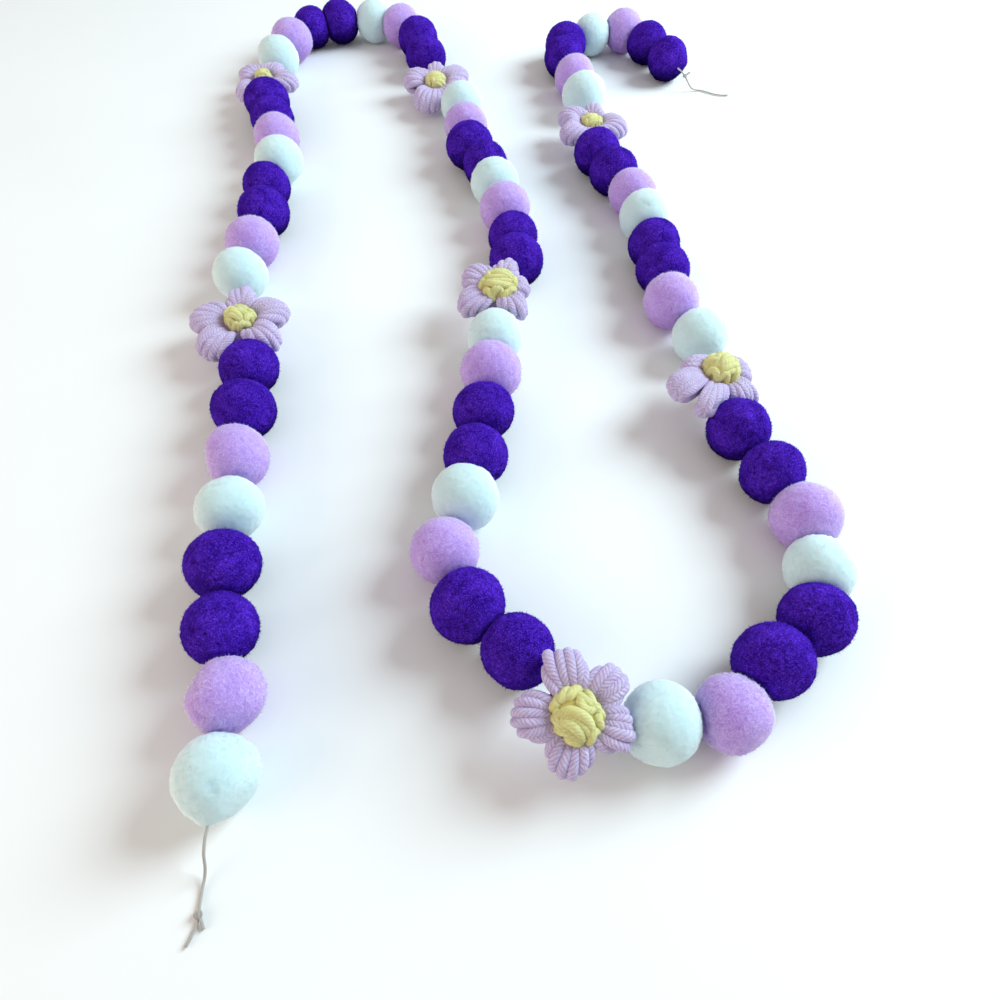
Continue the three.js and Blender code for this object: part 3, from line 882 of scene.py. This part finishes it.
def make_pompoms(balls, materials):
    sphere, faces = unit_sphere(BALL_DETAIL)
    nodes = {}
    for ball in balls:
        nodes.setdefault(ball["node"], []).append(ball)
    for name, held in nodes.items():
        shape = Collector()
        for ball in held:
            felt = Felt(ball, balls)
            draw = np.random.default_rng((SEED + 1, ball["index"]))
            turn = np.linalg.qr(draw.normal(size=(3, 3)))[0]
            turned = sphere @ (turn * np.sign(np.linalg.det(turn)))
            skin, _ = felt.points(turned)
            tuft = draw.normal(scale=TUFT, size=len(skin))
            skin += turned * np.clip(tuft, -2 * TUFT, 2 * TUFT)[:, None]
            skin[:, 2] = np.maximum(skin[:, 2], 0.0)
            # The skin's tone differs at random from tuft to tuft, and is painted shaded underneath.
            tone = np.clip(SKIN_TONE + tuft / TUFT * TUFT_TONE, 0, 1) * underside_shading(turned)
            shape.add(skin, faces, tone)
            shape.add(*fibres(felt, draw))
        piece = shape.make("pile_" + name)
        colour = name.split("_")[0]
        piece.data.materials.append(materials[colour])
        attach(piece, "root")
        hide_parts(name)


# Flowers

class Seat:
    """A flower's own frame: its middle, its directions and the reach of its petals all round."""

    def __init__(self, name, row):
        self.row = row
        lean, tilt = math.radians(row["lean"]), math.radians(row["tilt"])
        turn = np.array([-math.sin(lean), math.cos(lean), 0])
        self.axes = np.array([self.turned(v, turn, tilt) for v in np.eye(3)])
        points = node_points(name)
        apex = points[np.argmax(points @ self.axes[2])]
        self.middle = apex - self.axes[2] * DOME_TOP * row["size"]
        local = (points - self.middle) @ self.axes.T
        angle = np.degrees(np.arctan2(local[:, 1], local[:, 0]))
        radius = np.linalg.norm(local[:, :2], axis=1)
        even = 360 / PETALS * np.arange(PETALS + 1)
        turns = row["spin"] + even + np.array([*row["turns"], row["turns"][0]])
        self.petals = turns[:PETALS]
        self.angles = np.interp(360 / SPOKES * np.arange(SPOKES + 1), even, turns)
        self.reaches = []
        for side in self.angles:
            off = np.abs((angle - side + 180) % 360 - 180)
            self.reaches.append(radius[off < SPOKE_WIDTH].max())
        self.reaches = np.array(self.reaches)

    @staticmethod
    def turned(vector, axis, angle):
        along = axis * axis.dot(vector)
        return along + (vector - along) * math.cos(angle) + np.cross(axis, vector) * math.sin(angle)

    def reach(self, angle):
        """How far the petals reach in a direction, in degrees."""
        first = self.angles[0]
        return np.interp((angle - first) % 360 + first, self.angles, self.reaches)

    def place(self, local):
        return self.middle + local @ self.axes


def push_out(path, radius, balls):
    """Moves the points of a strand out of the balls that it would lie in."""
    for ball in balls:
        away = path - ball["middle"]
        apart = np.linalg.norm(away, axis=1)
        short = ball["radius"] - PILE + radius * STRAND_SINK - apart
        held = np.maximum(short, 0)[:, None]
        path = path + away / apart[:, None] * held
    return path


def add_yarn(shape, path, radius, tone, draw, twist, count):
    """Adds a thick plied loop, twisted one way or the other, and the loose fibre ends on it."""
    points, triangles, strand = yarn(path, radius, STRAND_SIDES, PLY_PITCH * twist, draw.random())
    points = lifted(points)
    tones = np.append(np.repeat(tone, STRAND_SIDES), [tone[0], tone[-1]])
    shape.add(points, triangles, tones, strand)
    at = draw.integers(0, len(path) * STRAND_SIDES, count)
    out = unit(points[at] - path[at // STRAND_SIDES])
    ends, corners = spikes(points[at] - out * YARN_FIBRE_ROOT, out, draw, **YARN_FIBRE)
    shape.add(ends, corners, 1.0, plain(corners))


def petal_reach(seat, petal, fan):
    """How far a strand reaches at fan degrees from its petal's middle line."""
    row, centre = seat.row, seat.petals[petal]
    bend = math.cos(math.radians(PETALS / 2 * fan))
    full = PETAL_TIP * row["size"] * (1 - PETAL_NOTCH * (1 - bend ** 0.5))
    held = min(seat.reach(centre + fan) + REACH_MORE, seat.reach(centre + REACH_SIDE * fan))
    rounding = 1 - PETAL_ROUND * (1 - bend)
    return max(held, row["over"] * full) * row["long"][petal] * rounding


def drape(paths, radii, balls):
    """Lays a bundle of strands over the balls that it meets, so that its strands stay together."""

    def pushed_out(moved):
        return np.stack([push_out(path, radius, balls) for path, radius in zip(moved, radii)])

    shift = np.zeros_like(paths)
    for _ in range(DRAPE_ROUNDS):
        pushed = pushed_out(paths + shift)
        edge = np.pad(pushed - paths, ((1, 1), (1, 1), (0, 0)), mode="edge")
        beside = edge[:-2, 1:-1] + edge[2:, 1:-1]
        along = edge[1:-1, :-2] + edge[1:-1, 2:]
        shift = DRAPE_OWN * (pushed - paths) + DRAPE_BESIDE * beside + DRAPE_ALONG * along
    return pushed_out(paths + shift)


def strand_path(seat, line, tip):
    """The path of a strand whose tip is that far out, from its shares, directions and heights."""
    size = seat.row["size"]
    inner = STRAND_INNER * size
    room = max(tip - inner, STRAND_ROOM)
    flat = min(1, FLAT_LEAST + room / (FLAT_ROOM * size))
    r = inner + room * line[:, 0]
    corners = np.stack(
        [r * np.cos(line[:, 1]), r * np.sin(line[:, 1]), line[:, 2] * size * flat], axis=1)
    corners[:, :2] += np.outer(1 - line[:, 0], seat.row["dome_place"])
    path = even_path(corners, STRAND_STEP)
    at = np.linspace(0, len(path) - 1, STRAND_POINTS)
    count = np.arange(len(path))
    even = np.stack([np.interp(at, count, path[:, axis]) for axis in range(3)], axis=1)
    return seat.place(even)


def petal_strand(seat, petal, side, balls, draw):
    """The path and the thickness of one strand of a petal. side runs from -1 to 1 across it."""
    row, centre = seat.row, seat.petals[petal]
    size = row["size"]
    if side > 0:
        room = (seat.petals[(petal + 1) % PETALS] - centre) % 360
    else:
        room = (centre - seat.petals[petal - 1]) % 360
    spread = min(room / (360 / PETALS), PETAL_SPREAD)
    fan = PETAL_FAN * row["fan"] * side * spread
    radius = STRAND_RADIUS * size * draw.uniform(*STRAND_THICKNESS)
    tip = petal_reach(seat, petal, fan) - radius * 0.8 + draw.uniform(-TIP_UNEVEN, TIP_UNEVEN)
    line = np.array([
        (at["share"],
         math.radians(centre + fan * at["fan"] + draw.uniform(-TURN_UNEVEN, TURN_UNEVEN)),
         at["z"] * (1 - PETAL_SLOPE * side**2 * at["share"]))
        for at in PETAL_LINE
    ])
    line[:, 1] += math.radians(draw.uniform(-SWAY_UNEVEN, SWAY_UNEVEN)) * line[:, 0]
    line[:, 2] += draw.uniform(-RISE_UNEVEN, RISE_UNEVEN)
    path = strand_path(seat, line, tip)
    for _ in range(DRAW_IN_STEPS):
        pressed = np.linalg.norm(push_out(path, radius, balls) - path, axis=1).max()
        if pressed < PETAL_PRESS or tip < PETAL_LEAST * PETAL_TIP * size:
            break
        tip -= DRAW_IN
        path = strand_path(seat, line, tip)
    return path, radius


def petal_filling(seat, petal, balls, shape):
    """A flat egg of plain yarn that fills a petal between its strands."""
    size = seat.row["size"]
    inner = STRAND_INNER * size
    room = max(petal_reach(seat, petal, 0) - inner, PETAL_ROOM)
    sphere, faces = unit_sphere(PUFF_DETAIL)
    filling = sphere * np.array([FILL_LONG * room, FILL_WIDE * room, FILL_HIGH * size])
    filling[:, 0] += inner + FILL_PLACE * room
    turn = math.radians(seat.petals[petal])
    x = filling[:, 0] * math.cos(turn) - filling[:, 1] * math.sin(turn)
    y = filling[:, 0] * math.sin(turn) + filling[:, 1] * math.cos(turn)
    placed = push_out(seat.place(np.stack([x, y, filling[:, 2]], axis=1)), 0.0, balls)
    # The filling is painted shaded, as it lies between the strands.
    shape.add(lifted(placed), faces, FILL_SHADE, plain(faces))


def petal_strands(seat, balls, draw, shape):
    """The puffed petals: each is a bundle of strands, over the crown and back under the flower,
    round a filling."""
    share = np.linspace(0, 1, STRAND_POINTS)
    bow = np.sin(np.pi * np.clip(share * SWELL_RUN, 0, 1))
    swell = SWELL_LEAST + SWELL_MORE * bow**SWELL_POWER
    # The strand's tone is painted shade, deepest at its foot in the middle of the flower.
    tone = np.interp(share, FOOT_SHADE["share"], FOOT_SHADE["tone"])
    for petal in range(PETALS):
        paths, radii = [], []
        for k in range(STRANDS):
            path, radius = petal_strand(seat, petal, 2 * k / (STRANDS - 1) - 1, balls, draw)
            paths.append(path)
            radii.append(radius)
        twist = 1
        for path, radius in zip(drape(np.array(paths), radii, balls), radii):
            path[:, 2] = np.maximum(path[:, 2], radius * 0.95)
            add_yarn(shape, path, radius * swell, tone, draw, twist, PETAL_FIBRES)
            twist = -twist
        petal_filling(seat, petal, balls, shape)


def flower_heart(seat, shape):
    """A closed lens of plain yarn that fills the middle of the flower between its loops."""
    polar = np.linspace(0, np.pi, HEART_STEPS)
    turn = np.linspace(0, 2 * np.pi, HEART_SIDES, endpoint=False)
    across = HEART_RADIUS * np.sin(polar)[:, None]
    height = HEART_HEIGHT * np.cos(polar)[:, None]
    rings = np.stack([
        across * np.cos(turn),
        across * np.sin(turn),
        np.broadcast_to(height, (HEART_STEPS, HEART_SIDES)),
    ], axis=2)[1:-1] * seat.row["size"]
    pole = HEART_HEIGHT * seat.row["size"]
    points = np.vstack([rings.reshape(-1, 3), [[0, 0, pole], [0, 0, -pole]]])
    top, bottom = len(points) - 2, len(points) - 1
    last = (HEART_STEPS - 3) * HEART_SIDES
    triangles = []
    for ring in range(HEART_STEPS - 3):
        for k in range(HEART_SIDES):
            a, b = ring * HEART_SIDES + k, ring * HEART_SIDES + (k + 1) % HEART_SIDES
            triangles += [(a, a + HEART_SIDES, b + HEART_SIDES), (a, b + HEART_SIDES, b)]
    for k in range(HEART_SIDES):
        after = (k + 1) % HEART_SIDES
        triangles += [(top, k, after), (bottom, last + after, last + k)]
    triangles = np.array(triangles)
    # The heart is painted shaded.
    shape.add(lifted(seat.place(points)), triangles, HEART_SHADE, plain(triangles))


def dome_point(azimuth, height, radius, top):
    """A place on the dome: height is its share of the way from the rim to the top."""
    turn, level = math.radians(azimuth), height * math.pi / 2
    return (
        radius * math.cos(level) * math.cos(turn),
        radius * math.cos(level) * math.sin(turn),
        DOME_FOOT + (top - DOME_FOOT) * math.sin(level),
    )


def rim_loops(draw, radius, top):
    """Short fat loops that stand round the foot of the dome."""
    loops = []
    for k in range(RIM_LOOPS):
        azimuth = 360 * k / RIM_LOOPS + draw.uniform(-RIM_ASIDE, RIM_ASIDE)
        width = draw.uniform(*RIM_WIDTH)
        rise = draw.uniform(*RIM_RISE)
        slant = draw.uniform(-RIM_SLANT, RIM_SLANT)
        loops.append([
            dome_point(azimuth - width, 0.0, radius, top),
            dome_point(azimuth - width * 0.5, rise - slant, radius + RIM_OUT, top),
            dome_point(azimuth + width * 0.5, rise + slant, radius + RIM_OUT, top),
            dome_point(azimuth + width, 0.0, radius, top),
        ])
    return loops


def crown_loops(draw, radius, top):
    """Fat loops that lie over the top of the dome, roughly beside each other."""
    loops = []
    heading = draw.uniform(-CROWN_HEADING, CROWN_HEADING)
    for k in range(CROWN_LOOPS):
        side = (k - (CROWN_LOOPS - 1) / 2) * 2 * radius * CROWN_SPAN / CROWN_LOOPS
        bow = draw.uniform(-CROWN_BOW, CROWN_BOW)
        lift = draw.uniform(-CROWN_LIFT, CROWN_LIFT)
        aside = heading + draw.uniform(-CROWN_ASIDE, CROWN_ASIDE)
        corners = []
        for step in (-1, -0.5, 0, 0.5, 1):
            reach = step * math.sqrt(max((CROWN_REACH * radius) ** 2 - side**2, CROWN_LEAST))
            turn = math.radians(aside + bow * step)
            x = reach * math.cos(turn) - side * math.sin(turn)
            y = reach * math.sin(turn) + side * math.cos(turn)
            rise = math.sqrt(max(0.0, 1 - (x * x + y * y) / (CROWN_ROUND * radius) ** 2))
            corners.append((x, y, DOME_FOOT + (top - DOME_FOOT) * rise + lift * (1 - abs(step))))
        loops.append(corners)
    return loops


def dome_loops(seat, draw, shape):
    """The yellow middle: short thick loops heaped over each other round a core."""
    row = seat.row
    size = row["size"]
    shift = np.array([*row["dome_place"], 0])
    wide, deep, high = row["dome_size"]
    turn = math.radians(row["dome_turn"])
    rotation = np.eye(3)
    rotation[:2, :2] = [[math.cos(turn), math.sin(turn)], [-math.sin(turn), math.cos(turn)]]
    squash = np.diag([wide, deep, high]) @ rotation * size
    radius, top = DOME_RADIUS / size, DOME_TOP - LOOP_RADIUS
    loop = LOOP_RADIUS * size * math.sqrt(wide * deep)
    for corners in rim_loops(draw, radius, top) + crown_loops(draw, radius, top):
        path = seat.place(even_path(np.array(corners) @ squash, STRAND_STEP) + shift)
        arch = np.sin(np.pi * np.linspace(0, 1, len(path)))
        thick = loop * draw.uniform(*LOOP_THICKNESS) * (LOOP_ENDS + LOOP_SWELL * arch)
        # Each loop is painted shaded towards its ends.
        tone = LOOP_END_SHADE + (1 - LOOP_END_SHADE) * arch
        add_yarn(shape, path, thick, tone, draw, 1, DOME_FIBRES)
    sphere, faces = unit_sphere(CORE_DETAIL)
    core = sphere * np.array([radius, radius, top - DOME_FOOT]) + np.array([0, 0, DOME_FOOT])
    # The core is painted shaded.
    shape.add(seat.place(core @ squash + shift), faces, CORE_SHADE, plain(faces))


def make_flowers(balls, materials):
    for index, row in enumerate(FLOWERS):
        name = f"flower_{index + 1}"
        seat = Seat(name, row)
        draw = np.random.default_rng((SEED + 2, index))
        near = [ball for ball in balls if np.linalg.norm(ball["middle"] - seat.middle) < 45]
        petals = Collector()
        petal_strands(seat, near, draw, petals)
        flower_heart(seat, petals)
        piece = petals.make("petals_" + name)
        piece.data.materials.append(materials["petal"])
        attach(piece, "root")
        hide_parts(name)
        middle = Collector()
        dome_loops(seat, draw, middle)
        piece = middle.make("dome_" + name)
        piece.data.materials.append(materials["dome"])
        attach(piece, "root")


# Thread ends

def add_thread(shape, path, radius, sides, tone):
    points, triangles, strand = yarn(path, radius, sides, THREAD_PITCH)
    shape.add(lifted(points), triangles, tone, strand)


def make_knot(tail, name):
    """The knot that sits on the thread: rings of thread round one middle, and a loose end."""
    knot = Collector()
    middle = np.array(tail["route"][tail["knot"]])
    middle[2] = max(middle[2], KNOT_LOWEST)
    angles = np.linspace(0, 2 * np.pi, KNOT_CORNERS + 1)[:-1]
    for row in KNOT_WRAPS:
        tilt, wide = row["tilt"], row["wide"]
        ring = []
        for angle in np.append(angles, angles[:2] + 2 * np.pi):
            x, y = math.cos(angle) * wide, math.sin(angle) * KNOT_DEEP * wide
            z = KNOT_WAVE * math.sin(2 * angle)
            turned_x = x * math.cos(tilt) - z * math.sin(tilt)
            turned_z = x * math.sin(tilt) + z * math.cos(tilt)
            ring.append(middle + (turned_x, y, turned_z * KNOT_HIGH))
        # The rings are painted a little shaded.
        add_thread(knot, even_path(ring, KNOT_STEP), KNOT_RADIUS, KNOT_SIDES, KNOT_SHADE)
    end = np.array(tail["loose_end"])
    bend = (middle + end) / 2 + LOOSE_BEND
    loose = even_path([middle, bend, end], THREAD_STEP)
    add_thread(knot, loose, LOOSE_RADIUS, KNOT_SIDES, 1.0)
    return knot.make(name)


def make_tail(tail, part, material):
    """The thread from the last pompom to its cut end, with its knot."""
    path = even_path(tail["route"], THREAD_STEP)
    thread = Collector()
    add_thread(thread, path, THREAD_DIAMETER / 2 * THREAD_FULL, THREAD_SIDES, 1.0)
    cord = thread.make("thread_" + part)
    tied = make_knot(tail, "tied_" + part)
    for piece, node_name in ((cord, "tail_" + part), (tied, "knot_" + part)):
        piece.data.materials.append(material)
        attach(piece, "root")
        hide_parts(node_name)


# Surroundings

def make_floor():
    side = FLOOR_SIDE
    corners = [(-side, -side, 0), (side, -side, 0), (side, side, 0), (-side, side, 0)]
    mesh = bpy.data.meshes.new("floor")
    mesh.from_pydata(corners, [], [(0, 1, 2, 3)])
    mesh.materials.append(floor_material())
    floor = new_object("floor", mesh)


def make_light(name, place, size, power, colour):
    data = bpy.data.lights.new(name, "AREA")
    data.shape = "DISK"
    data.size = size
    data.energy = power
    data.color = colour
    light = new_object(name, data)
    light.location = place
    light.rotation_euler = (Vector((0, 0, 0)) - Vector(place)).to_track_quat("-Z", "Y").to_euler()


def make_surroundings():
    make_floor()
    for row in LIGHTS:
        make_light(**row)
    world = bpy.data.worlds.new("room")
    world.use_nodes = True
    settle(world.node_tree.nodes["Background"], {"Color": ROOM_COLOUR, "Strength": ROOM_STRENGTH})
    bpy.context.scene.world = world
    bpy.context.scene.view_settings.view_transform = "Standard"


def main():
    make_camera()
    thread = yarn_material("thread", *YARNS["thread"])
    make_tail(TAIL_START, "start", thread)
    make_tail(TAIL_FINISH, "finish", thread)
    materials = {kind: pile_material(kind + "_pile", *look) for kind, look in PILES.items()}
    materials["petal"] = yarn_material("petal_yarn", *YARNS["petal"])
    materials["dome"] = yarn_material("centre_yarn", *YARNS["dome"])
    balls = string_of_balls()
    make_pompoms(balls, materials)
    make_flowers(balls, materials)
    make_surroundings()


main()
